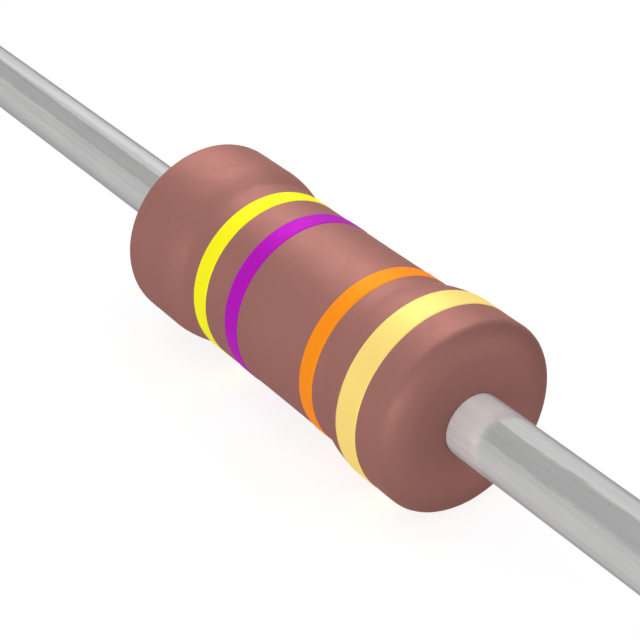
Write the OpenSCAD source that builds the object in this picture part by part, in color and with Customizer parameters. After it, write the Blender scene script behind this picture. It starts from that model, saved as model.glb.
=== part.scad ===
// Small axial film resistor. A ceramic rod with a trimmed film is held between two steel caps,
// each with a welded lead, and a lacquer coat with four colour bands covers all but the leads.
// The axis is X, the origin is the middle of the body, and the tolerance band is at the +X end.
// Sizes are in millimetres. Each piece is sized outward from the rod.

/* [Ceramic rod] */
// Diameter of the ceramic rod
rod_dia = 1.12; // [0.9:0.01:1.5]
// Length of the ceramic rod
rod_len = 3.3; // [2.7:0.05:5]
// Chamfer round each end of the rod
rod_edge = 0.06; // [0.04:0.01:0.12]

/* [Resistive film] */
// Thickness of the film
film_t = 0.02; // [0.01:0.005:0.05]
// Turns of the film's ribbon, counting the two that run into the end rings
ribbon_turns = 7; // [3:1:10]
// Width of the helical cut that trims the film
trim_cut = 0.05; // [0.02:0.01:0.1]
// Bare width of each end ring, from the cap's rim to the trimmed part
ring_margin = 0.1; // [0.02:0.01:0.25]

/* [End caps] */
// Thickness of the steel sheet that the caps are drawn from
cap_t = 0.1; // [0.05:0.01:0.16]
// Inside depth of each cap
cap_depth = 0.6; // [0.4:0.01:0.8]

/* [Leads] */
// Diameter of the lead wire
lead_dia = 0.51; // [0.35:0.01:0.7]
// Length of each lead outside the coat
lead_free = 11.14; // [3:0.01:30]
// Chamfer round the cut end of each lead
lead_edge = 0.03; // [0.01:0.01:0.08]
// Length of the flared weld foot, from the cap along the lead
foot_len = 0.07; // [0.03:0.01:0.1]
// How far the weld foot flares out past the wire
foot_flare = 0.08; // [0.02:0.01:0.12]

/* [Lacquer coat] */
// Thickness of the coat round the caps
coat_round = 0.117; // [0.06:0.001:0.2]
// Thickness of the coat on the flat end of each cap, beside the lead
coat_end = 0.11; // [0.08:0.005:0.2]
// Drop in radius from the thick ends to the waist
waist_drop = 0.067; // [0.02:0.001:0.12]
// Length of each shoulder, from the waist up to the thick end
shoulder_len = 0.327; // [0.1:0.001:0.4]
// How far each shoulder starts ahead of its cap's rim
shoulder_lead = 0.056; // [0.02:0.001:0.2]
// Length of the dome at each end of the coat
dome_len = 0.138; // [0.08:0.001:0.2]
// Fullness of the dome: 2 is an ellipse, and a larger value is squarer
dome_full = 2.45; // [2:0.05:4]

/* [Colour bands] */
// Thickness of the paint
paint_t = 0.008; // [0.005:0.001:0.03]
// Width of the first and second digit bands
digit_w = 0.18; // [0.08:0.01:0.25]
// Width of the multiplier band
multiplier_w = 0.17; // [0.08:0.01:0.25]
// Width of the tolerance band
tolerance_w = 0.244; // [0.1:0.002:0.3]
// From the left shoulder to the first digit band
first_inset = 0.174; // [0.02:0.001:0.25]
// Bare coat between the two digit bands
digit_gap = 0.283; // [0.1:0.001:0.45]
// From the right shoulder to the multiplier band
multiplier_inset = 0.135; // [0.02:0.001:0.4]
// From the right end of the coat to the tolerance band
tolerance_inset = 0.36; // [0.21:0.001:0.45]

/* [Fits] */
// Gap between the rod and the film that is bonded to it
bond_gap = 0.001; // [0.001:0.001:0.005]
// Gap between the film and the caps that are pressed over it
press_gap = 0.002; // [0.001:0.001:0.01]
// Gap between the coat and the pieces inside it
coat_gap = 0.002; // [0.001:0.001:0.005]
// Gap between the coat and the paint on it
paint_gap = 0.001; // [0.001:0.001:0.005]
// Room between the rod's chamfer and the bend inside the cap
bend_room = 0.02; // [0.005:0.005:0.03]

/* [Hidden] */

$fn = 96;
// Straight steps that stand for each kind of curve
RIBBON_STEPS = 36;
BEND_STEPS = 6;
SHOULDER_STEPS = 8;
DOME_STEPS = 14;
TOLERANCE_STEPS = 8;
// How far the ribbon runs on inside each end ring, in degrees
RIBBON_LAP = 30;

CERAMIC = "#f0ede4";
FILM = "#6b6460";
STEEL = "#b9bcbd";
TIN = "#c9cbca";
LACQUER = "#976762";
YELLOW = "#f8f32b";
VIOLET = "#c225bb";
ORANGE = "#fb9130";
GOLD = "#f6dc7c";

// Radii, from the rod outward
rod_r = rod_dia / 2;
film_in_r = rod_r + bond_gap;
film_out_r = film_in_r + film_t;
cap_in_r = film_out_r + press_gap;
cap_out_r = cap_in_r + cap_t;
coat_r = cap_out_r + coat_round;
waist_r = coat_r - waist_drop;
lead_r = lead_dia / 2;
foot_r = lead_r + foot_flare;
coat_bore_r = lead_r + coat_gap;

// Bend radii of the cap, inside and outside its sheet
bend_in = rod_edge - bend_room;
bend_out = bend_in + cap_t;

// Places along the axis, from the middle of the body to the right
rod_x = rod_len / 2;
film_x = rod_x - rod_edge;
rim_x = rod_x - cap_depth;
trim_x = rim_x - ring_margin;
cap_x = rod_x + cap_t;
coat_x = cap_x + coat_end;
lead_x = coat_x + lead_free;
shoulder_x = rim_x - shoulder_lead;
shoulder_top_x = shoulder_x + shoulder_len;

// Radius of the arc that rises from the waist and meets the thick end without a corner
shoulder_r = (pow(shoulder_len, 2) + pow(waist_drop, 2)) / (2 * waist_drop);

// Rise of the ribbon in one turn, and the width that the cut leaves of it
ribbon_pitch = (2 * trim_x - trim_cut) / (ribbon_turns - 1);
ribbon_w = ribbon_pitch - trim_cut;

// Edges of the bands along the axis
first_x = -shoulder_x + first_inset;
second_x = first_x + digit_w + digit_gap;
multiplier_x = shoulder_x - multiplier_inset - multiplier_w;
tolerance_x = coat_x - tolerance_inset - tolerance_w;

// A section is a list of [radius, place along the axis]
function backward(points) = [for (i = [len(points) - 1 : -1 : 0]) points[i]];
function to_left(points) = [for (p = backward(points)) [p[0], -p[1]]];

// A quarter bend from the flat end round to the side, about a centre on the section
function bend(centre, r) =
    [for (i = [0 : BEND_STEPS]) centre + r * [sin(90 * i / BEND_STEPS), cos(90 * i / BEND_STEPS)]];

// Radius of the coat where it isn't domed, by the place along the axis
function coat_side_r(x) =
    let (below_top = shoulder_top_x - abs(x))
    below_top <= 0 ? coat_r
    : below_top >= shoulder_len ? waist_r
    : coat_r - shoulder_r + sqrt(pow(shoulder_r, 2) - pow(below_top, 2));

// The right end of the coat, from its bore at the lead out to its side
function dome_section() =
    let (reach = coat_r - coat_bore_r, power = 2 / dome_full)
    [for (i = [0 : DOME_STEPS])
        let (turn = 90 - 90 * i / DOME_STEPS)
        [coat_r - reach + reach * pow(cos(turn), power),
         coat_x - dome_len + dome_len * pow(sin(turn), power)]];

// The right shoulder, from the thick end down to the waist
function shoulder_section() =
    [for (i = [0 : SHOULDER_STEPS])
        let (x = shoulder_top_x - shoulder_len * i / SHOULDER_STEPS)
        [coat_side_r(x), x]];

// The right half of the space inside the coat, from the lead down to the film
function cavity_section() =
    concat([[coat_bore_r, cap_x + foot_len + coat_gap],
            [foot_r + coat_gap, cap_x + coat_gap]],
           bend([cap_out_r - bend_out, cap_x - bend_out], bend_out + coat_gap),
           [[cap_out_r + coat_gap, rim_x - coat_gap],
            [film_out_r + coat_gap, rim_x - coat_gap]]);

// The right cap: its outside from the middle of the floor to the rim, and its inside back
function cap_section() =
    concat([[0, cap_x]],
           bend([cap_out_r - bend_out, cap_x - bend_out], bend_out),
           [[cap_out_r, rim_x], [cap_in_r, rim_x]],
           backward(bend([cap_in_r - bend_in, rod_x - bend_in], bend_in)),
           [[0, rod_x]]);

// A skin of paint over the side of the coat, from one place along the axis to another
function paint_line(from_x, to_x, lift, steps) =
    [for (i = [0 : steps])
        let (x = from_x + (to_x - from_x) * i / steps)
        [coat_side_r(x) + lift, x]];

module turned(section) {
    rotate([0, 90, 0])
        rotate_extrude()
            polygon(section);
}

module round_bar(from_x, to_x, from_r, to_r) {
    translate([from_x, 0, 0])
        rotate([0, 90, 0])
            cylinder(h = to_x - from_x, r1 = from_r, r2 = to_r);
}

module film_ring() {
    translate([trim_x, 0, 0])
        rotate([0, 90, 0])
            linear_extrude(film_x - trim_x)
                difference() {
                    circle(film_out_r);
                    circle(film_in_r);
                }
}

// The ribbon lies between flat facets that stay clear of the rod and inside the end rings
module film_ribbon() {
    count = ribbon_turns * RIBBON_STEPS;
    lap = RIBBON_LAP * RIBBON_STEPS / 360;
    skin = film_t / 20;
    in_r = (film_in_r + skin) / cos(180 / RIBBON_STEPS);
    out_r = film_out_r - skin;
    points = [
        for (i = [-lap : count + lap])
            let (angle = 360 * i / RIBBON_STEPS,
                 low_x = ribbon_pitch * i / RIBBON_STEPS - trim_x - ribbon_w,
                 high_x = low_x + ribbon_w)
            for (corner = [[in_r, low_x], [out_r, low_x], [out_r, high_x], [in_r, high_x]])
                [corner[1], corner[0] * cos(angle), corner[0] * sin(angle)]];
    last = len(points) - 4;
    faces = concat(
        [[3, 2, 1, 0]],
        [for (k = [0 : 4 : last - 4], side = [0 : 3])
            let (next = (side + 1) % 4)
            [k + side, k + next, k + 4 + next, k + 4 + side]],
        [[last, last + 1, last + 2, last + 3]]);
    polyhedron(points, faces);
}

module ceramic_rod() {
    color(CERAMIC) {
        round_bar(-rod_x, -film_x, rod_r - rod_edge, rod_r);
        round_bar(-film_x, film_x, rod_r, rod_r);
        round_bar(film_x, rod_x, rod_r, rod_r - rod_edge);
    }
}

module resistive_film() {
    color(FILM) {
        film_ring();
        mirror([1, 0, 0]) film_ring();
        film_ribbon();
    }
}

module cap_right() {
    color(STEEL) turned(cap_section());
}

module cap_left() {
    mirror([1, 0, 0]) cap_right();
}

module lead_right() {
    color(TIN) {
        round_bar(cap_x, cap_x + foot_len, foot_r, lead_r);
        round_bar(cap_x + foot_len, lead_x - lead_edge, lead_r, lead_r);
        round_bar(lead_x - lead_edge, lead_x, lead_r, lead_r - lead_edge);
    }
}

module lead_left() {
    mirror([1, 0, 0]) lead_right();
}

module lacquer_coat() {
    outside = concat(dome_section(), shoulder_section());
    inside = cavity_section();
    color(LACQUER)
        turned(concat(outside, to_left(outside), backward(to_left(inside)), backward(inside)));
}

module paint_band(from_x, width, steps = 1) {
    turned(concat(paint_line(from_x, from_x + width, paint_gap, steps),
                  backward(paint_line(from_x, from_x + width, paint_gap + paint_t, steps))));
}

module band_first_digit() {
    color(YELLOW) paint_band(first_x, digit_w);
}

module band_second_digit() {
    color(VIOLET) paint_band(second_x, digit_w);
}

module band_multiplier() {
    color(ORANGE) paint_band(multiplier_x, multiplier_w);
}

module band_tolerance() {
    color(GOLD) paint_band(tolerance_x, tolerance_w, TOLERANCE_STEPS);
}

ceramic_rod();
resistive_film();
cap_left();
cap_right();
lead_left();
lead_right();
lacquer_coat();
band_first_digit();
band_second_digit();
band_multiplier();
band_tolerance();
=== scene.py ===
"""Looks of a small axial film resistor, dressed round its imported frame.

Each sub-assembly is a class: the lacquer coat, the colour bands, the film core inside and the two
leads. Their sizes are in millimetres, as a maker notes them, and every mesh is in metres. All of
the pieces are round about the X axis, so one node tree turns their outlines. A second one adds the
film's ribbon.
"""

import logging
import math
from dataclasses import dataclass, field
from enum import Enum

import bpy
from mathutils import Matrix, Vector


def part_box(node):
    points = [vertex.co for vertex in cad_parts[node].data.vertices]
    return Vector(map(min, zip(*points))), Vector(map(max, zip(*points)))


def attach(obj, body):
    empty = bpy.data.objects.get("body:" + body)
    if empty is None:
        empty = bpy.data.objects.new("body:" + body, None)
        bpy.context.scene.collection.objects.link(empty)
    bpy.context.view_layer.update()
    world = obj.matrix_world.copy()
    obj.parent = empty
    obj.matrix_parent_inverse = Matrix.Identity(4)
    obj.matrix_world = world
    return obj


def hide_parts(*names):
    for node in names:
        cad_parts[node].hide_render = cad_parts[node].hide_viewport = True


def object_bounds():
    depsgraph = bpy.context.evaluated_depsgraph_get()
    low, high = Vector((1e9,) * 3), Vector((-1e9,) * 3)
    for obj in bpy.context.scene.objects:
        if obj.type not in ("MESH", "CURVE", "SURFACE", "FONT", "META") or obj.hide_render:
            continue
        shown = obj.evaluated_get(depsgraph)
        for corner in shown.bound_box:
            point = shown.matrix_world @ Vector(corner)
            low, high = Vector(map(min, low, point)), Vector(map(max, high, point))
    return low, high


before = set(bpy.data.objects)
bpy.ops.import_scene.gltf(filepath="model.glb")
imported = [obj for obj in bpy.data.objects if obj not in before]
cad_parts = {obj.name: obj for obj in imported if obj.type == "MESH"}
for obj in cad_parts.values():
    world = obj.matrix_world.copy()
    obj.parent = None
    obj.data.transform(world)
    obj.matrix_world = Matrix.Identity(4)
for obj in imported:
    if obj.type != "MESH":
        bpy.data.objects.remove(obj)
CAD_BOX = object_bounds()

log = logging.getLogger("resistor")

MM = 0.001
BODY = "root"
WHITE = (1.0, 1.0, 1.0, 1.0)
SOCKET_KINDS = {float: "Float", int: "Int", tuple: "Color"}

Point = tuple[float, float]
Range = tuple[float, float]
Colour = tuple[float, float, float]
Socket = bpy.types.NodeSocket
Tree = bpy.types.NodeTree
Material = bpy.types.Material
Piece = bpy.types.Object


class End(Enum):
    """The two ends of the part, by their sign along X."""

    LEFT = -1
    RIGHT = 1

    @property
    def side(self) -> str:
        """The end's side, as the names of the nodes have it."""
        return self.name.lower()


class Marking(Enum):
    """The colour bands, each by its node and the name of its paint."""

    FIRST_DIGIT = ("band_first_digit", "yellow")
    SECOND_DIGIT = ("band_second_digit", "violet")
    MULTIPLIER = ("band_multiplier", "orange")
    TOLERANCE = ("band_tolerance", "gold")


class Graph:
    """A node tree with short calls for adding nodes and joining their sockets."""

    def __init__(self, tree: Tree) -> None:
        """Keeps the geometry or shader node tree that the calls add to."""
        self.tree = tree

    @classmethod
    def of(cls, owner: bpy.types.ID) -> "Graph":
        """Empties the node tree of a material or a world, to build it afresh."""
        owner.use_nodes = True
        owner.node_tree.nodes.clear()
        return cls(owner.node_tree)

    def add(self, kind: str, settings: dict[str, object] | None = None, **feeds: object) -> bpy.types.Node:
        """Adds a node.

        Args:
            kind: The node's type name.
            settings: Properties of the node itself.
            **feeds: Values or sockets for its inputs, with spaces in their names as underscores.

        Returns:
            The new node.
        """
        made = self.tree.nodes.new(kind)
        for key, value in (settings or {}).items():
            setattr(made, key, value)
        for key, source in feeds.items():
            self.feed(made.inputs[key.replace("_", " ")], source)
        return made

    def feed(self, target: Socket, source: object) -> None:
        """Joins a socket to the target, or sets the target's own value.

        Args:
            target: The input to feed.
            source: Another node's output, a node for its first output, or a plain value.
        """
        if isinstance(source, bpy.types.Node):
            source = source.outputs[0]
        if isinstance(source, Socket):
            self.tree.links.new(source, target)
        else:
            target.default_value = source

    def maths(self, operation: str, first: object, second: object = 0.0) -> Socket:
        """Adds a Math node.

        Args:
            operation: Its operation, such as MULTIPLY.
            first: Its first value or socket.
            second: Its second value or socket.

        Returns:
            The node's result.
        """
        made = self.add("ShaderNodeMath", {"operation": operation})
        self.feed(made.inputs[0], first)
        self.feed(made.inputs[1], second)
        return made.outputs[0]

    def vector_maths(self, operation: str, first: object, second: object = None,
                     scale: object = None) -> Socket:
        """Adds a Vector Math node.

        Args:
            operation: Its operation, such as SCALE.
            first: Its first vector or socket.
            second: Its second vector or socket, where it has one.
            scale: Its scale, where it has one.

        Returns:
            The node's vector.
        """
        made = self.add("ShaderNodeVectorMath", {"operation": operation})
        self.feed(made.inputs[0], first)
        if second is not None:
            self.feed(made.inputs[1], second)
        if scale is not None:
            self.feed(made.inputs["Scale"], scale)
        return made.outputs[0]

    def range_of(self, value: Socket, low: object, high: object, from_low: float = 0.0,
                 from_high: float = 1.0) -> Socket:
        """Maps a value from its own range, from_low to from_high, to the range from low to high."""
        made = self.add("ShaderNodeMapRange", Value=value, From_Min=from_low, From_Max=from_high,
                        To_Min=low, To_Max=high)
        return made.outputs[0]

    def noise(self, vector: object, scale: object, **feeds: object) -> Socket:
        """Adds a Noise Texture node, which gives a value from 0 to 1."""
        return self.add("ShaderNodeTexNoise", Vector=vector, Scale=scale, **feeds).outputs[0]

    def length(self, vector: object) -> Socket:
        """Adds a Vector Math node that gives a vector's length."""
        return self.add("ShaderNodeVectorMath", {"operation": "LENGTH"}, Vector=vector).outputs["Value"]


def new_group(name: str, kind: str, inputs: dict[str, object],
              output: tuple[str, str]) -> tuple[Graph, Socket, Socket]:
    """Starts a node group.

    Args:
        name: The group's name.
        kind: GeometryNodeTree or ShaderNodeTree.
        inputs: Each input's name, with its first value or its socket's kind.
        output: The output's name and its socket's kind.

    Returns:
        The graph, the outputs of its Group Input node and the socket that takes its result.
    """
    tree = bpy.data.node_groups.new(name, kind)
    for label, value in inputs.items():
        socket_kind = SOCKET_KINDS.get(type(value), value)
        socket = tree.interface.new_socket(label, in_out="INPUT", socket_type=f"NodeSocket{socket_kind}")
        if socket_kind != value:
            socket.default_value = value
    tree.interface.new_socket(output[0], in_out="OUTPUT", socket_type=f"NodeSocket{output[1]}")
    graph = Graph(tree)
    return graph, graph.add("NodeGroupInput").outputs, graph.add("NodeGroupOutput").inputs[0]


def turned_form_tree() -> Tree:
    """Builds the tree that turns an outline about the X axis.

    The outline is a chain of vertices in the XZ plane. A grid takes one row for each of them, and
    each column is swung round by its share of the circle, with a slight ripple in its radius.

    Returns:
        The geometry node tree.
    """
    graph, given, result = new_group(
        "turned_form", "GeometryNodeTree",
        {"Outline": "Geometry", "Outline Points": 2, "Steps Round": 96, "Ripple Height": 0.0,
         "Ripple Size": 1.0, "Ripple Seed": 0.0, "Merge Within": 0.0, "Finish": "Material"},
        ("Geometry", "Geometry"))
    columns = graph.maths("ADD", given["Steps Round"], 1.0)
    grid = graph.add("GeometryNodeMeshGrid", Vertices_X=given["Outline Points"], Vertices_Y=columns)
    index = graph.add("GeometryNodeInputIndex")
    row = graph.maths("FLOOR", graph.maths("DIVIDE", graph.maths("ADD", index, 0.5), columns))
    column = graph.maths("SUBTRACT", index, graph.maths("MULTIPLY", row, columns))
    wrapped = graph.maths("MODULO", column, given["Steps Round"])
    angle = graph.maths("MULTIPLY", graph.maths("DIVIDE", wrapped, given["Steps Round"]), 2 * math.pi)
    position = graph.add("GeometryNodeInputPosition")
    sample = graph.add("GeometryNodeSampleIndex", {"data_type": "FLOAT_VECTOR", "domain": "POINT"},
                       Geometry=given["Outline"], Value=position, Index=row)
    swung = graph.add("ShaderNodeVectorRotate", {"rotation_type": "X_AXIS"}, Vector=sample, Angle=angle)
    across = graph.vector_maths("MULTIPLY", swung, (0.0, 1.0, 1.0))
    outward = graph.vector_maths("NORMALIZE", across)
    in_mm = graph.vector_maths("SCALE", swung, scale=given["Ripple Size"])
    noise = graph.add("ShaderNodeTexNoise", {"noise_dimensions": "4D"}, Vector=in_mm,
                      W=given["Ripple Seed"], Detail=1.0)
    swell = graph.maths("MULTIPLY", graph.maths("SUBTRACT", noise, 0.5), given["Ripple Height"])
    place = graph.vector_maths("ADD", swung, graph.vector_maths("SCALE", outward, scale=swell))
    formed = graph.add("GeometryNodeSetPosition", Geometry=grid.outputs["Mesh"], Position=place)
    closed = graph.add("GeometryNodeMergeByDistance", Geometry=formed, Distance=given["Merge Within"])
    finish_tree(graph, closed, given["Finish"], result)
    return graph.tree


def ribbon_tree() -> Tree:
    """Builds the tree that adds the film's helical ribbon to its two end rings.

    Returns:
        The geometry node tree.
    """
    graph, given, result = new_group(
        "film_ribbon", "GeometryNodeTree",
        {"Rings": "Geometry", "Radius": 0.0, "Turns": 1.0, "Length": 0.0, "Width": 0.0,
         "Thickness": 0.0, "Start Angle": 0.0, "Steps Round": 48, "Finish": "Material"},
        ("Geometry", "Geometry"))
    spiral = graph.add("GeometryNodeCurveSpiral", Resolution=given["Steps Round"], Rotations=given["Turns"],
                       Start_Radius=given["Radius"], End_Radius=given["Radius"], Height=given["Length"])
    upright = graph.add("GeometryNodeSetCurveNormal", {"mode": "Z_UP"}, Curve=spiral)
    strip = graph.add("GeometryNodeCurvePrimitiveQuadrilateral", {"mode": "RECTANGLE"},
                      Width=given["Thickness"], Height=given["Width"])
    swept = graph.add("GeometryNodeCurveToMesh", Curve=upright, Profile_Curve=strip, Fill_Caps=True)
    half = graph.maths("MULTIPLY", given["Length"], -0.5)
    centred = graph.add("GeometryNodeTransform", Geometry=swept,
                        Translation=graph.add("ShaderNodeCombineXYZ", Z=half))
    spun = graph.add("GeometryNodeTransform", Geometry=centred,
                     Rotation=graph.add("ShaderNodeCombineXYZ", Z=given["Start Angle"]))
    laid = graph.add("GeometryNodeTransform", Geometry=spun, Rotation=(0.0, math.pi / 2, 0.0))
    joined = graph.add("GeometryNodeJoinGeometry")
    graph.feed(joined.inputs[0], laid)
    graph.feed(joined.inputs[0], given["Rings"])
    finish_tree(graph, joined, given["Finish"], result)
    return graph.tree


def finish_tree(graph: Graph, geometry: object, material: Socket, target: Socket) -> None:
    """Ends a tree with smooth shading, Realize Instances and Set Material.

    Args:
        graph: The tree's graph.
        geometry: The geometry so far, as a node or a socket.
        material: The tree's material input.
        target: The tree's geometry output.
    """
    smooth = graph.add("GeometryNodeSetShadeSmooth", Geometry=geometry)
    real = graph.add("GeometryNodeRealizeInstances", Geometry=smooth)
    dressed = graph.add("GeometryNodeSetMaterial", Geometry=real, Material=material)
    graph.feed(target, dressed)


def add_object(name: str, data: bpy.types.ID) -> Piece:
    """Adds an object to the scene.

    Args:
        name: Its name.
        data: Its mesh, light or camera.

    Returns:
        The new object.
    """
    made = bpy.data.objects.new(name, data)
    bpy.context.scene.collection.objects.link(made)
    return made


class Forms:
    """The geometry node trees, and the step that turns what they make into a plain mesh."""

    def __init__(self) -> None:
        """Builds both trees once."""
        self.turned = turned_form_tree()
        self.ribbon = ribbon_tree()

    def run(self, name: str, mesh: bpy.types.Mesh, tree: Tree, values: dict[str, object]) -> Piece:
        """Runs a tree on a mesh and keeps the result as a plain object.

        Args:
            name: The finished piece's name.
            mesh: The mesh that the tree starts from.
            tree: The tree to run.
            values: A value for each of the tree's inputs, by name.

        Returns:
            The finished object, which holds no modifier.
        """
        source = add_object(f"{name}_source", mesh)
        modifier = source.modifiers.new("form", "NODES")
        modifier.node_group = tree
        items = tree.interface.items_tree
        sockets = {item.name: item.identifier for item in items if item.in_out == "INPUT"}
        for label, value in values.items():
            modifier[sockets[label]] = value
        evaluated = source.evaluated_get(bpy.context.evaluated_depsgraph_get())
        made = bpy.data.meshes.new_from_object(evaluated)
        made.name = name
        source.modifiers.remove(modifier)
        bpy.data.objects.remove(source)
        bpy.data.meshes.remove(mesh)
        return add_object(name, made)

    def turn(self, name: str, outlines: list[list[Point]], skin: "Skin") -> Piece:
        """Turns one or more outlines into one piece.

        Args:
            name: The piece's name.
            outlines: Outlines of (place along X, radius) in mm. Each either closes on itself or
                starts and ends on the axis.
            skin: How finely it is turned, and how far its surface ripples.

        Returns:
            The finished object.
        """
        parts = []
        for number, outline in enumerate(outlines):
            chain = ordered(outline)
            mesh = bpy.data.meshes.new(f"{name}_outline_{number}")
            links = [(i, i + 1) for i in range(len(chain) - 1)]
            mesh.from_pydata([(x * MM, 0.0, r * MM) for x, r in chain], links, [])
            parts.append(self.run(f"{name}_{number}", mesh, self.turned, {
                "Outline Points": len(chain), "Steps Round": skin.steps_round,
                "Ripple Height": skin.ripple_height * MM, "Ripple Size": skin.ripples_per_mm / MM,
                "Ripple Seed": skin.seed, "Merge Within": skin.merge_within * MM}))
        piece = join(name, parts)
        piece.data.set_sharp_from_angle(angle=math.radians(skin.sharp_above_deg))
        return piece


@dataclass(frozen=True)
class Skin:
    """How finely a piece is turned, and how far its surface ripples."""

    steps_round: int = 128
    ripple_height: float = 0.0
    ripples_per_mm: float = 1.0
    seed: float = 0.0
    merge_within: float = 0.00005
    sharp_above_deg: float = 35.0


def ordered(outline: list[Point]) -> list[Point]:
    """Puts an outline in the order whose turned faces point outwards.

    Args:
        outline: Points of (place along X, radius).

    Returns:
        The same points, with the first repeated at the end if the outline closes on itself.
    """
    closed = outline[0][1] > 0.0
    chain = outline + outline[:1] if closed else list(outline)
    area = sum(a[0] * b[1] - b[0] * a[1] for a, b in zip(chain, chain[1:] + chain[:1]))
    return chain if area > 0.0 else chain[::-1]


def join(name: str, parts: list[Piece]) -> Piece:
    """Joins objects that sit at the origin into one.

    Args:
        name: The joined object's name.
        parts: The objects, which are used up.

    Returns:
        The joined object.
    """
    piece = parts[0]
    if len(parts) > 1:
        with bpy.context.temp_override(active_object=piece, object=piece, selected_objects=parts,
                                       selected_editable_objects=parts):
            bpy.ops.object.join()
    piece.name = piece.data.name = name
    return piece


def span(start: float, stop: float, steps: int) -> list[float]:
    """Gives evenly spaced values, both ends included."""
    return [start + (stop - start) * i / steps for i in range(steps + 1)]


def quarter(centre: Point, across: float, up: float, steps: int) -> list[Point]:
    """Gives a quarter round from its reach across, beside its centre, to its reach up, above it."""
    turns = span(0.0, math.pi / 2, steps)
    return [(centre[0] + across * math.cos(a), centre[1] + up * math.sin(a)) for a in turns]


@dataclass
class CoatForm:
    """Outer form of the lacquer: two thick domed ends and a slimmer waist."""

    end_x: float
    end_radius: float
    waist_drop: float = 0.067
    shoulder_start: float = 0.994
    shoulder_length: float = 0.327
    shoulder_softness: float = 0.017
    dome_length: float = 0.138
    dome_fullness: float = 2.45
    bore_radius: float = 0.257

    @classmethod
    def from_frame(cls) -> "CoatForm":
        """Takes the coat's reach and thickness from its node in the frame."""
        _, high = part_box("lacquer_coat")
        return cls(end_x=high.x / MM, end_radius=high.z / MM)

    @property
    def waist_radius(self) -> float:
        """Radius between the shoulders."""
        return self.end_radius - self.waist_drop

    @property
    def shoulder_top(self) -> float:
        """Place along the axis where a shoulder reaches the thick end."""
        return self.shoulder_start + self.shoulder_length

    def side_radius(self, x: float) -> float:
        """Radius of the coat's side, with the corner at the waist a little softened.

        Args:
            x: Place along the axis.

        Returns:
            The radius.
        """
        below = self.shoulder_top - abs(x)
        if below <= 0.0:
            return self.end_radius
        arc_radius = (self.shoulder_length ** 2 + self.waist_drop ** 2) / (2 * self.waist_drop)
        if below >= arc_radius:
            return self.waist_radius
        arc = self.end_radius - arc_radius + math.sqrt(arc_radius ** 2 - below ** 2)
        gap = arc - self.waist_radius
        return self.waist_radius + (gap + math.hypot(gap, self.shoulder_softness)) / 2

    def dome(self, steps: int) -> list[Point]:
        """Gives the right end's rounding, from the lead out to the side.

        Args:
            steps: Its straight steps.

        Returns:
            The points.
        """
        reach = self.end_radius - self.bore_radius
        power = 2 / self.dome_fullness
        turns = span(math.pi / 2, 0.0, steps)
        return [(self.end_x - self.dome_length * (1 - math.sin(a) ** power),
                 self.end_radius - reach * (1 - math.cos(a) ** power)) for a in turns]


def mirrored(points: list[Point]) -> list[Point]:
    """Gives the same points on the left side, in the other order."""
    return [(-x, r) for x, r in reversed(points)]


@dataclass
class LacquerCoat:
    """The lacquer, a shell with a space inside for the core and the roots of the leads."""

    form: CoatForm
    film_radius: float = 0.583
    cap_radius: float = 0.685
    cap_bend: float = 0.142
    cap_face: float = 1.752
    cap_rim: float = 1.048
    foot_radius: float = 0.337
    foot_top: float = 1.822
    side_step: float = 0.02
    dome_steps: int = 48
    bend_steps: int = 12
    skin: Skin = Skin(steps_round=256, ripple_height=0.004, ripples_per_mm=1.1, seed=3.0)
    pieces: dict[str, Piece] = field(default_factory=dict)

    def outline(self) -> list[Point]:
        """Gives the section of the shell, outside and then inside."""
        form = self.form
        dome_foot = form.end_x - form.dome_length
        side = [(x, form.side_radius(x)) for x in span(dome_foot, 0.0, round(dome_foot / self.side_step))]
        outside = form.dome(self.dome_steps) + side[1:]
        bend_centre = (self.cap_face - self.cap_bend, self.cap_radius - self.cap_bend)
        inside = [(0.0, self.film_radius), (self.cap_rim, self.film_radius), (self.cap_rim, self.cap_radius)]
        inside += quarter(bend_centre, self.cap_bend, self.cap_bend, self.bend_steps)[::-1]
        inside += [(self.cap_face, self.foot_radius), (self.foot_top, form.bore_radius)]
        return outside + mirrored(outside)[1:] + mirrored(inside) + inside[1:]

    def build(self, forms: Forms) -> None:
        """Builds the shell."""
        self.pieces["coat"] = forms.turn("coat", [self.outline()], self.skin)

    def dress(self, finish: "Lacquer") -> None:
        """Gives the shell its lacquer."""
        settle(self.pieces["coat"], finish.material(), "lacquer_coat")


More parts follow.
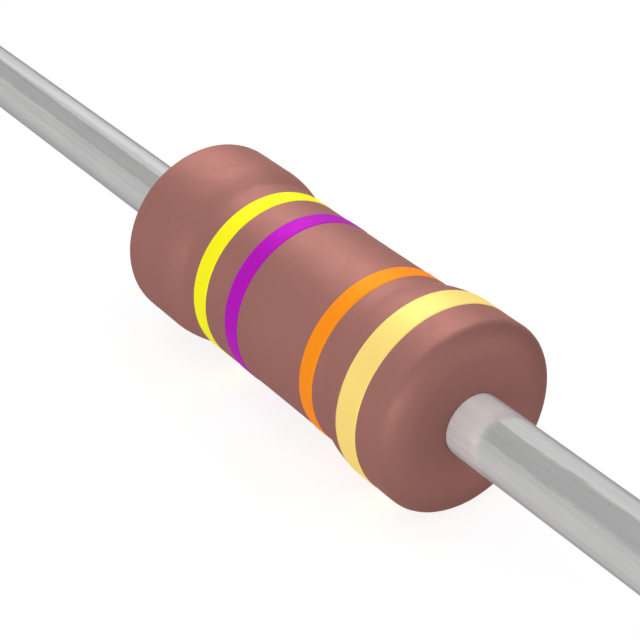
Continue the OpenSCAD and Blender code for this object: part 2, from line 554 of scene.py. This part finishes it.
@dataclass
class ColourBands:
    """The painted rings, each a thin skin that follows the side of the coat."""

    form: CoatForm
    thickness: float = 0.004
    lift: float = 0.0005
    edge: float = 0.02
    edge_steps: int = 6
    steps_along: int = 16
    skin: Skin = Skin(steps_round=256, ripple_height=0.004, ripples_per_mm=1.1, seed=3.0,
                      sharp_above_deg=50.0)
    pieces: dict[str, Piece] = field(default_factory=dict)

    def outline(self, left: float, right: float) -> list[Point]:
        """Gives the section of one ring.

        Args:
            left: Its left edge along the axis.
            right: Its right edge along the axis.

        Returns:
            The points, over the ring from left to right and back under it.
        """
        def raised(x: float, height: float) -> Point:
            """Gives the point at a height over the coat's side."""
            return (x, self.form.side_radius(x) + height)

        top = self.lift + self.thickness
        rises = [(share, self.lift + self.thickness * math.sin(share * math.pi / 2))
                 for share in span(0.0, 1.0, self.edge_steps)]
        left_edge = [raised(left + self.edge * share, height) for share, height in rises]
        right_edge = [raised(right - self.edge * share, height) for share, height in reversed(rises)]
        over = [raised(x, top) for x in span(left + self.edge, right - self.edge, self.steps_along)]
        under = [raised(x, self.lift) for x in span(right, left, self.steps_along)]
        return left_edge + over[1:-1] + right_edge + under[1:-1]

    def build(self, forms: Forms) -> None:
        """Builds each ring between the edges that its node has in the frame."""
        for marking in Marking:
            node, paint = marking.value
            low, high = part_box(node)
            name = f"band_{paint}"
            self.pieces[name] = forms.turn(name, [self.outline(low.x / MM, high.x / MM)], self.skin)

    def dress(self, finishes: dict[str, "Paint"]) -> None:
        """Gives each ring its own paint.

        Args:
            finishes: The paints, by the names in Marking.
        """
        for marking in Marking:
            node, paint = marking.value
            settle(self.pieces[f"band_{paint}"], finishes[paint].material(), node)


@dataclass
class FilmCore:
    """What the lacquer hides: the ceramic rod, the trimmed film on it and the caps over its ends."""

    rod_radius: float = 0.56
    rod_end: float = 1.65
    rod_edge: float = 0.06
    film_inside: float = 0.561
    film_thickness: float = 0.02
    film_end: float = 1.59
    trim_start: float = 0.95
    trim_cut: float = 0.05
    ribbon_turns: float = 7.0
    ribbon_lap_deg: float = 30.0
    ribbon_thickness: float = 0.018
    ribbon_steps: int = 64
    cap_thickness: float = 0.1
    cap_rim: float = 1.05
    cap_inside: float = 0.583
    cap_bend: float = 0.04
    outer_bend_steps: int = 12
    inner_bend_steps: int = 8
    skin: Skin = Skin(steps_round=96)
    pieces: dict[str, Piece] = field(default_factory=dict)

    def rod_outline(self) -> list[Point]:
        """Gives the rod's section, with a chamfer at each end."""
        right = [(self.rod_end, 0.0), (self.rod_end, self.rod_radius - self.rod_edge),
                 (self.rod_end - self.rod_edge, self.rod_radius)]
        return right + mirrored(right)

    def ring_outline(self, end: End) -> list[Point]:
        """Gives the section of the film's ring at one end."""
        outside = self.film_inside + self.film_thickness
        near, far = self.trim_start * end.value, self.film_end * end.value
        return [(near, self.film_inside), (near, outside), (far, outside), (far, self.film_inside)]

    def cap_outline(self, end: End) -> list[Point]:
        """Gives the section of the cap at one end, outside and then inside."""
        face = self.rod_end + self.cap_thickness
        outside = self.cap_inside + self.cap_thickness
        outer_bend = self.cap_bend + self.cap_thickness
        outer_centre = (face - outer_bend, outside - outer_bend)
        points = [(face, 0.0)] + quarter(outer_centre, outer_bend, outer_bend, self.outer_bend_steps)
        points += [(self.cap_rim, outside), (self.cap_rim, self.cap_inside)]
        inner_centre = (self.rod_end - self.cap_bend, self.cap_inside - self.cap_bend)
        points += quarter(inner_centre, self.cap_bend, self.cap_bend, self.inner_bend_steps)[::-1]
        points.append((self.rod_end, 0.0))
        return [(x * end.value, r) for x, r in points]

    def build(self, forms: Forms) -> None:
        """Builds the rod, the film and the two caps."""
        self.pieces["rod"] = forms.turn("rod", [self.rod_outline()], self.skin)
        rings = forms.turn("film_rings", [self.ring_outline(end) for end in End], self.skin)
        rise = (2 * self.trim_start - self.trim_cut) / (self.ribbon_turns - 1)
        turns = self.ribbon_turns + 2 * self.ribbon_lap_deg / 360
        mesh = rings.data
        bpy.data.objects.remove(rings)
        self.pieces["film"] = forms.run("film", mesh, forms.ribbon, {
            "Radius": (self.film_inside + self.film_thickness / 2) * MM,
            "Turns": turns, "Length": rise * turns * MM,
            "Width": (rise - self.trim_cut) * MM, "Thickness": self.ribbon_thickness * MM,
            "Start Angle": math.radians(90 - self.ribbon_lap_deg), "Steps Round": self.ribbon_steps})
        for end in End:
            name = f"cap_{end.side}_shell"
            self.pieces[name] = forms.turn(name, [self.cap_outline(end)], self.skin)

    def dress(self, ceramic: "HiddenFinish", film: "HiddenFinish", steel: "HiddenFinish") -> None:
        """Gives each piece inside its own finish."""
        settle(self.pieces["rod"], ceramic.material(), "ceramic_rod")
        settle(self.pieces["film"], film.material(), "resistive_film")
        for end in End:
            settle(self.pieces[f"cap_{end.side}_shell"], steel.material(), f"cap_{end.side}")


@dataclass
class Leads:
    """The two tinned wires, each with a flared weld foot on its cap and a plain cut end."""

    cap_face: float = 1.75
    radius: float = 0.255
    foot_radius: float = 0.335
    foot_length: float = 0.07
    cut_edge: float = 0.03
    cut_steps: int = 6
    steps_along: int = 90
    skin: Skin = Skin(steps_round=160, ripple_height=0.003, ripples_per_mm=0.7, seed=11.0)
    pieces: dict[str, Piece] = field(default_factory=dict)

    def outline(self, end: End, tip: float) -> list[Point]:
        """Gives the section of one wire.

        Args:
            end: Which lead it is.
            tip: Distance of its cut end from the middle of the body.

        Returns:
            The points, from the weld to the cut.
        """
        foot = [(self.cap_face, 0.0), (self.cap_face, self.foot_radius)]
        stop = tip - self.cut_edge
        wire = [(x, self.radius) for x in span(self.cap_face + self.foot_length, stop, self.steps_along)]
        cut_centre = (stop, self.radius - self.cut_edge)
        cut = quarter(cut_centre, self.cut_edge, self.cut_edge, self.cut_steps)[::-1]
        return [(x * end.value, r) for x, r in foot + wire + cut[1:] + [(tip, 0.0)]]

    def build(self, forms: Forms) -> None:
        """Builds each wire out to the tip that its node has in the frame."""
        for end in End:
            low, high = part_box(f"lead_{end.side}")
            tip = max(abs(low.x), abs(high.x)) / MM
            name = f"wire_{end.side}"
            self.pieces[name] = forms.turn(name, [self.outline(end, tip)], self.skin)

    def dress(self, finish: "TinnedWire") -> None:
        """Gives both wires their tin."""
        material = finish.material()
        for end in End:
            settle(self.pieces[f"wire_{end.side}"], material, f"lead_{end.side}")


def settle(piece: Piece, material: Material, node: str) -> None:
    """Dresses a finished piece, and puts it in the place of its CAD node.

    Args:
        piece: The piece.
        material: Its finish.
        node: The CAD node that it stands for.
    """
    piece.data.materials.clear()
    piece.data.materials.append(material)
    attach(piece, BODY)
    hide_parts(node)
    log.info("%s: %d faces, %s, for %s", piece.name, len(piece.data.polygons), material.name, node)


class Effects:
    """Shader node groups for the effects that more than one finish uses."""

    groups: dict[str, Tree] = {}

    @classmethod
    def get(cls, name: str) -> Tree:
        """Gives a group, building it the first time."""
        if name not in cls.groups:
            cls.groups[name] = getattr(cls, name)()
        return cls.groups[name]

    @staticmethod
    def uneven_tone() -> Tree:
        """A colour that drifts slowly lighter and darker, with fine specks of pigment in it."""
        graph, given, result = new_group(
            "uneven_tone", "ShaderNodeTree",
            {"Vector": "Vector", "Colour": (0.5, 0.5, 0.5, 1.0), "Patches per mm": 1.5,
             "Patch Depth": 0.1, "Specks per mm": 40.0, "Speck Depth": 0.1},
            ("Colour", "Color"))
        patch = graph.noise(given["Vector"], given["Patches per mm"], Detail=3.0)
        speck = graph.noise(given["Vector"], given["Specks per mm"], Detail=2.0)
        drift = graph.maths("MULTIPLY", graph.maths("SUBTRACT", patch, 0.5), given["Patch Depth"])
        grain = graph.maths("MULTIPLY", graph.maths("SUBTRACT", speck, 0.5), given["Speck Depth"])
        level = graph.maths("ADD", graph.maths("ADD", drift, grain), 1.0)
        toned = graph.vector_maths("SCALE", given["Colour"], scale=level)
        graph.feed(result, toned)
        return graph.tree

    @staticmethod
    def uneven_gloss() -> Tree:
        """A roughness that varies over the surface."""
        graph, given, result = new_group(
            "uneven_gloss", "ShaderNodeTree",
            {"Vector": "Vector", "Roughness": 0.4, "Spread": 0.05, "Patches per mm": 6.0},
            ("Roughness", "Float"))
        patch = graph.noise(given["Vector"], given["Patches per mm"], Detail=4.0)
        reach = graph.maths("MULTIPLY", given["Spread"], 2.0)
        drift = graph.maths("MULTIPLY", graph.maths("SUBTRACT", patch, 0.5), reach)
        graph.feed(result, graph.maths("ADD", given["Roughness"], drift))
        return graph.tree

    @staticmethod
    def orange_peel() -> Tree:
        """The dimpled height of a coat that has flowed and set, over a finer grain."""
        graph, given, result = new_group(
            "orange_peel", "ShaderNodeTree",
            {"Vector": "Vector", "Dimples per mm": 5.0, "Grain per mm": 45.0, "Grain Share": 0.15},
            ("Height", "Float"))
        dimple = graph.noise(given["Vector"], given["Dimples per mm"], Detail=1.0)
        grain = graph.noise(given["Vector"], given["Grain per mm"], Detail=2.0)
        share = graph.maths("MULTIPLY", grain, given["Grain Share"])
        graph.feed(result, graph.maths("ADD", dimple, share))
        return graph.tree

    @staticmethod
    def drawn_lines() -> Tree:
        """Faint lines along X, as a drawing die leaves them."""
        graph, given, result = new_group(
            "drawn_lines", "ShaderNodeTree",
            {"Vector": "Vector", "Lines per mm": 30.0, "Run": 0.02},
            ("Mask", "Float"))
        squeeze = graph.add("ShaderNodeCombineXYZ", X=given["Run"], Y=1.0, Z=1.0)
        stretched = graph.vector_maths("MULTIPLY", given["Vector"], squeeze)
        lines = graph.noise(stretched, given["Lines per mm"], Detail=3.0, Roughness=0.6)
        graph.feed(result, lines)
        return graph.tree


class Shading:
    """A material in the making, with its surface shader and its place on the piece in millimetres."""

    def __init__(self, name: str) -> None:
        """Starts a material.

        Args:
            name: The material's name.
        """
        self.made = bpy.data.materials.new(name)
        self.graph = Graph.of(self.made)
        self.surface = self.graph.add("ShaderNodeBsdfPrincipled")
        self.graph.add("ShaderNodeOutputMaterial", Surface=self.surface)
        place = self.graph.add("ShaderNodeTexCoord").outputs["Object"]
        per_mm = (1 / MM, 1 / MM, 1 / MM)
        self.vector = self.graph.add("ShaderNodeMapping", Vector=place, Scale=per_mm)

    def effect(self, name: str, **feeds: object) -> Socket:
        """Places an effect's group on the piece, with values for its inputs, and gives its output."""
        group = {"node_tree": Effects.get(name)}
        return self.graph.add("ShaderNodeGroup", group, Vector=self.vector, **feeds).outputs[0]

    def tone(self, colour: Colour, **feeds: float) -> Socket:
        """Gives a colour that drifts about a mean one over the piece and has specks in it."""
        return self.effect("uneven_tone", Colour=(*colour, 1.0), **feeds)

    def from_middle(self) -> Socket:
        """Gives the distance from the middle along the X axis, in millimetres."""
        axes = self.graph.add("ShaderNodeSeparateXYZ", Vector=self.vector).outputs
        return self.graph.maths("ABSOLUTE", axes["X"])

    def from_axis(self) -> Socket:
        """Gives the distance from the X axis, in millimetres."""
        return self.graph.length(self.graph.vector_maths("MULTIPLY", self.vector, (0.0, 1.0, 1.0)))

    def set(self, **feeds: object) -> None:
        """Feeds inputs of the surface shader, with spaces in their names as underscores."""
        for key, source in feeds.items():
            self.graph.feed(self.surface.inputs[key.replace("_", " ")], source)

    def blend(self, share: Socket, first: object, second: object) -> Socket:
        """Mixes two colours.

        Args:
            share: Share of the second, from 0 to 1.
            first: The first colour or socket.
            second: The second colour or socket.

        Returns:
            The mixed colour.
        """
        made = self.graph.add("ShaderNodeMix", {"data_type": "RGBA"})
        colours = [socket for socket in made.inputs if socket.type == "RGBA"]
        self.graph.feed(made.inputs[0], share)
        self.graph.feed(colours[0], first)
        self.graph.feed(colours[1], second)
        return next(socket for socket in made.outputs if socket.type == "RGBA")

    def bump(self, height: Socket, depth: float) -> None:
        """Raises the surface by a height map, where a height of 1 has the depth in millimetres."""
        made = self.graph.add("ShaderNodeBump", Height=height, Distance=depth * MM, Strength=1.0)
        self.set(Normal=made)


@dataclass(frozen=True)
class Lacquer:
    """Satin epoxy lacquer, with slow drifts of tone and the dimples it set with."""

    colour: Colour = (0.358, 0.162, 0.139)
    # painted reflection: the paler colour that glossy rays, as in the wire, see in place of the lacquer's
    # own
    in_the_wire: Colour = (0.86, 0.765, 0.755)
    edge_tint: Colour = (0.34, 0.15, 0.13)
    lustre: float = 0.38
    roughness: float = 0.55
    side_end: float = 1.65
    rim_radius: float = 0.81
    flat_radius: float = 0.52
    pillow_height: float = 0.125
    pillow_power: float = 2.0
    peel_height: float = 0.004

    def material(self) -> Material:
        """Builds the lacquer, with a painted reflection: glossy rays see a paler colour and no lustre."""
        shading = Shading("brown_lacquer")
        toned = shading.tone(
            self.colour, Patches_per_mm=1.3, Patch_Depth=0.12, Specks_per_mm=38.0, Speck_Depth=0.10)
        gloss = shading.effect("uneven_gloss", Roughness=self.roughness, Spread=0.07, Patches_per_mm=7.0)
        # painted reflection: for glossy rays the colour turns paler and the metallic lustre drops to 0
        mirrored_ray = shading.graph.add("ShaderNodeLightPath").outputs["Is Glossy Ray"]
        shading.set(
            Base_Color=shading.blend(mirrored_ray, toned, (*self.in_the_wire, 1.0)),
            Roughness=gloss, Metallic=shading.graph.range_of(mirrored_ray, self.lustre, 0.0),
            IOR=1.5, Specular_IOR_Level=0.08, Specular_Tint=(*self.edge_tint, 1.0))
        peel = shading.effect("orange_peel", Dimples_per_mm=4.5, Grain_per_mm=50.0, Grain_Share=0.12)
        share = shading.graph.maths("MULTIPLY", peel, self.peel_height / self.pillow_height)
        shading.bump(shading.graph.maths("ADD", self.pillow(shading), share), self.pillow_height)
        return shading.made

    def pillow(self, shading: Shading) -> Socket:
        """Gives the height of each end, which sags softly from its flat middle out to its rim.

        Args:
            shading: The material in the making.

        Returns:
            The height, from 0 at the rim to 1 in the middle.
        """
        graph = shading.graph
        outward = graph.range_of(shading.from_axis(), 0.0, 1.0, self.flat_radius, self.rim_radius)
        sag = graph.maths("POWER", outward, self.pillow_power)
        on_end = graph.maths("GREATER_THAN", shading.from_middle(), self.side_end)
        return graph.maths("MULTIPLY", graph.maths("SUBTRACT", 1.0, sag), on_end)


@dataclass(frozen=True)
class Paint:
    """Marking paint for one band."""

    name: str
    colour: Colour
    lustre: float = 0.2
    roughness: float = 0.5
    peel_height: float = 0.003

    def material(self) -> Material:
        """Builds the paint."""
        shading = Shading(f"{self.name}_paint")
        gloss = shading.effect("uneven_gloss", Roughness=self.roughness, Spread=0.06, Patches_per_mm=9.0)
        toned = shading.tone(
            self.colour, Patches_per_mm=3.0, Patch_Depth=0.06, Specks_per_mm=55.0, Speck_Depth=0.07)
        shading.set(
            Base_Color=toned, Roughness=gloss, Metallic=self.lustre, IOR=1.48,
            Specular_IOR_Level=0.05, Specular_Tint=(*self.colour, 1.0))
        peel = shading.effect("orange_peel", Dimples_per_mm=6.0, Grain_per_mm=60.0, Grain_Share=0.2)
        shading.bump(peel, self.peel_height)
        return shading.made


@dataclass(frozen=True)
class TinnedWire:
    """Satin tin on drawn wire, with bare copper where the end was cut."""

    tin: Colour = (0.86, 0.86, 0.855)
    copper: Colour = (0.80, 0.38, 0.23)
    edge_tint: Colour = (0.6, 0.6, 0.6)
    metallic: float = 0.95
    roughness: float = 0.12
    cut_face: float = 12.985
    core_radius: float = 0.235
    wave_height: float = 0.010
    line_share: float = 0.12
    line_range: Range = (0.3, 0.7)
    line_tones: Range = (0.93, 1.06)
    line_gloss: Range = (0.03, -0.01)

    def material(self) -> Material:
        """Builds the wire's surface."""
        shading = Shading("tinned_copper")
        graph = shading.graph
        lines = shading.effect("drawn_lines", Lines_per_mm=26.0, Run=0.02)
        toned = shading.tone(
            self.tin, Patches_per_mm=2.2, Patch_Depth=0.10, Specks_per_mm=30.0, Speck_Depth=0.05)
        streaks = graph.range_of(lines, *self.line_tones, *self.line_range)
        streaked = graph.vector_maths("SCALE", toned, scale=streaks)
        at_cut = graph.maths("GREATER_THAN", shading.from_middle(), self.cut_face)
        in_core = graph.maths("LESS_THAN", shading.from_axis(), self.core_radius)
        bare = graph.maths("MULTIPLY", at_cut, in_core)
        gloss = shading.effect("uneven_gloss", Roughness=self.roughness, Spread=0.04, Patches_per_mm=5.0)
        rough = graph.maths("ADD", gloss, graph.range_of(lines, *self.line_gloss, *self.line_range))
        shading.set(
            Base_Color=shading.blend(bare, streaked, (*self.copper, 1.0)), Roughness=rough,
            Metallic=self.metallic, IOR=1.5, Specular_Tint=(*self.edge_tint, 1.0))
        waves = shading.effect("drawn_lines", Lines_per_mm=2.6, Run=0.45)
        fine = graph.maths("MULTIPLY", lines, self.line_share)
        shading.bump(graph.maths("ADD", waves, fine), self.wave_height)
        return shading.made


@dataclass(frozen=True)
class HiddenFinish:
    """Finish of a piece that the lacquer hides, with a fine grain or with drawn lines."""

    name: str
    colour: Colour
    metallic: float
    roughness: float
    gloss_patches: float
    patches: float
    patch_depth: float
    specks: float
    speck_depth: float
    relief: float
    drawn: bool = False

    def material(self) -> Material:
        """Builds the finish."""
        shading = Shading(self.name)
        gloss = shading.effect("uneven_gloss", Roughness=self.roughness, Spread=0.06,
                               Patches_per_mm=self.gloss_patches)
        toned = shading.tone(
            self.colour, Patches_per_mm=self.patches, Patch_Depth=self.patch_depth,
            Specks_per_mm=self.specks, Speck_Depth=self.speck_depth)
        shading.set(Base_Color=toned, Roughness=gloss, Metallic=self.metallic)
        if self.drawn:
            height = shading.effect("drawn_lines", Lines_per_mm=18.0, Run=0.08)
        else:
            height = shading.effect("orange_peel", Dimples_per_mm=18.0, Grain_per_mm=70.0, Grain_Share=0.5)
        shading.bump(height, self.relief)
        return shading.made


@dataclass(frozen=True)
class Lamp:
    """A soft studio panel, aimed at the part."""

    name: str
    direction: tuple[float, float, float]
    width: float
    height: float
    brightness: float
    body_only: bool = False
    distance: float = 120.0

    def place(self, body: bpy.types.Collection) -> None:
        """Hangs the panel.

        Args:
            body: The lacquered pieces, which a lamp for the body alone lights.
        """
        data = bpy.data.lights.new(self.name, "AREA")
        data.shape = "RECTANGLE"
        data.size = self.width * MM
        data.size_y = self.height * MM
        data.energy = self.brightness * math.pi * data.size * data.size_y
        lamp = add_object(self.name, data)
        towards = Vector(self.direction).normalized()
        lamp.location = towards * self.distance * MM
        lamp.rotation_mode = "QUATERNION"
        lamp.rotation_quaternion = (-towards).to_track_quat("-Z", "Y")
        lamp.visible_camera = False
        if self.body_only:
            lamp.light_linking.receiver_collection = body
        log.info("lamp %s, %.3f W", self.name, data.energy)


@dataclass(frozen=True)
class RayLevels:
    """Brightness of a surround, for rays that see it, that mirror it and that scatter its light."""

    seen: float
    mirrored: float
    scattered: float

    def by_ray(self, graph: Graph, seen_level: Socket | None = None) -> Socket:
        """Picks the level by the kind of ray.

        Args:
            graph: The material's or the world's graph.
            seen_level: A level that varies over the surface, to take the place of the seen one.

        Returns:
            The level.
        """
        path = graph.add("ShaderNodeLightPath").outputs
        seen = graph.maths("MAXIMUM", path["Is Camera Ray"], path["Is Transmission Ray"])
        indirect = graph.range_of(path["Is Glossy Ray"], self.scattered, self.mirrored)
        return graph.range_of(seen, indirect, self.seen if seen_level is None else seen_level)


@dataclass
class Studio:
    """The pale floor, the soft light and the camera."""

    azimuth_deg: float = 55.04
    elevation_deg: float = 31.27
    aim: tuple[float, float, float] = (-0.0142, -0.0496, -0.0277)
    distance: float = 14.346
    lens: float = 100.97
    sensor: float = 36.0
    floor_radius: float = 600.0
    floor_rings: int = 6
    floor_growth: int = 3
    floor_steps: int = 64
    surround: RayLevels = RayLevels(seen=1.0, mirrored=0.44, scattered=0.29)
    floor_glow: RayLevels = RayLevels(seen=0.84, mirrored=0.42, scattered=0.6)
    floor_tone: Colour = (0.36, 0.36, 0.36)
    glow_far: float = 1.0
    glow_from: float = 30.0
    glow_to: float = 100.0
    lamps: tuple[Lamp, ...] = (
        Lamp("key_panel", (-0.67, 0.30, 0.67), 80.0, 80.0, 4.5, body_only=True),
        Lamp("top_panel", (0.10, -0.35, 0.93), 112.0, 112.0, 0.6),
        Lamp("left_panel", (0.22, -0.93, 0.20), 130.0, 50.0, 3.6, body_only=True),
        Lamp("front_panel", (0.54, 0.32, 0.74), 112.0, 112.0, 0.57),
        Lamp("right_panel", (0.64, 0.75, 0.17), 126.0, 64.0, 0.9, body_only=True),
        Lamp("far_panel", (-0.82, 0.50, 0.28), 60.0, 56.0, 0.2),
        Lamp("back_panel", (-0.70, 0.57, 0.43), 110.0, 126.0, 0.24),
        Lamp("horizon_panel", (-0.70, -0.66, 0.20), 100.0, 50.0, 0.12),
    )

    def build(self, lacquered: list[Piece]) -> None:
        """Builds the floor, hangs the lamps and sets the camera.

        Args:
            lacquered: The coat and its bands.
        """
        self.lay_floor()
        body = bpy.data.collections.new("lacquered_body")
        for piece in lacquered:
            body.objects.link(piece)
        for lamp in self.lamps:
            lamp.place(body)
        self.set_world()
        self.set_camera()

    def lay_floor(self) -> None:
        """Lays a round floor just under the part, of rings that widen outwards."""
        low = CAD_BOX[0].z
        steps = self.floor_steps
        shares = span(0.0, 1.0, self.floor_rings)[1:]
        radii = [self.floor_radius * MM * share ** self.floor_growth for share in shares]
        angles = span(0.0, 2 * math.pi, steps)[:-1]
        points = [(0.0, 0.0, low)]
        for radius in radii:
            points += [(radius * math.cos(a), radius * math.sin(a), low) for a in angles]
        pairs = [(i, (i + 1) % steps) for i in range(steps)]
        faces = [(0, 1 + i, 1 + j) for i, j in pairs]
        for ring in range(self.floor_rings - 1):
            inner = 1 + ring * steps
            outer = inner + steps
            faces += [(inner + i, outer + i, outer + j, inner + j) for i, j in pairs]
        mesh = bpy.data.meshes.new("studio_floor")
        mesh.from_pydata(points, [], faces)
        floor = add_object("studio_floor", mesh)
        floor.data.materials.append(self.floor_material())

    def floor_material(self) -> Material:
        """Builds a floor that looks white and keeps the part's shadow, yet lights the part less."""
        made = bpy.data.materials.new("pale_floor")
        graph = Graph.of(made)
        matt = graph.add("ShaderNodeBsdfDiffuse", Color=(*self.floor_tone, 1.0))
        far_out = graph.length(graph.add("ShaderNodeTexCoord").outputs["Object"])
        seen_level = graph.range_of(far_out, self.floor_glow.seen, self.glow_far, self.glow_from * MM,
                                    self.glow_to * MM)
        strength = self.floor_glow.by_ray(graph, seen_level)
        glow = graph.add("ShaderNodeEmission", Color=WHITE, Strength=strength)
        both = graph.add("ShaderNodeAddShader")
        graph.feed(both.inputs[0], matt)
        graph.feed(both.inputs[1], glow)
        graph.add("ShaderNodeOutputMaterial", Surface=both)
        return made

    def set_world(self) -> None:
        """Sets a world that looks white and lights the part softly."""
        world = bpy.data.worlds.new("studio_surround")
        graph = Graph.of(world)
        sky = graph.add("ShaderNodeBackground", Color=WHITE, Strength=self.surround.by_ray(graph))
        graph.add("ShaderNodeOutputWorld", Surface=sky)
        bpy.context.scene.world = world

    def set_camera(self) -> None:
        """Puts the camera where the photograph was taken from."""
        data = bpy.data.cameras.new("photo_camera")
        data.lens = self.lens
        data.sensor_width = self.sensor
        data.clip_start = 0.5 * MM
        data.clip_end = 2.0
        camera = add_object("photo_camera", data)
        azimuth, elevation = math.radians(self.azimuth_deg), math.radians(self.elevation_deg)
        level = math.cos(elevation)
        back = Vector((math.sin(azimuth) * level, -math.cos(azimuth) * level, math.sin(elevation)))
        right = Vector((math.cos(azimuth), math.sin(azimuth), 0.0))
        turn = Matrix((right, back.cross(right), back)).transposed()
        place = (Vector(self.aim) + back * self.distance) * MM
        camera.matrix_world = Matrix.Translation(place) @ turn.to_4x4()
        bpy.context.scene.camera = camera


CERAMIC = HiddenFinish(
    "white_ceramic", (0.87, 0.85, 0.78), metallic=0.0, roughness=0.6, gloss_patches=10.0,
    patches=2.0, patch_depth=0.05, specks=25.0, speck_depth=0.10, relief=0.002)
METAL_FILM = HiddenFinish(
    "dark_metal_film", (0.24, 0.22, 0.20), metallic=0.9, roughness=0.34, gloss_patches=8.0,
    patches=3.0, patch_depth=0.2, specks=30.0, speck_depth=0.1, relief=0.001)
CAP_STEEL = HiddenFinish(
    "plated_cap_steel", (0.58, 0.58, 0.57), metallic=1.0, roughness=0.3, gloss_patches=8.0,
    patches=2.5, patch_depth=0.12, specks=35.0, speck_depth=0.06, relief=0.002, drawn=True)
PAINTS = {
    "yellow": Paint("yellow", (0.97, 0.92, 0.018)),
    "violet": Paint("violet", (0.45, 0.010, 0.48)),
    "orange": Paint("orange", (0.97, 0.29, 0.013)),
    "gold": Paint("gold", (0.98, 0.73, 0.215)),
}


def main() -> None:
    """Builds and dresses the resistor, then sets the studio round it."""
    logging.basicConfig(level=logging.INFO, format="%(name)s: %(message)s")
    bpy.context.scene.view_settings.view_transform = "Standard"
    forms = Forms()
    form = CoatForm.from_frame()
    core = FilmCore()
    core.build(forms)
    core.dress(CERAMIC, METAL_FILM, CAP_STEEL)
    leads = Leads()
    leads.build(forms)
    leads.dress(TinnedWire())
    coat = LacquerCoat(form)
    coat.build(forms)
    coat.dress(Lacquer())
    bands = ColourBands(form)
    bands.build(forms)
    bands.dress(PAINTS)
    Studio().build([*coat.pieces.values(), *bands.pieces.values()])


if __name__ == "__main__":
    main()
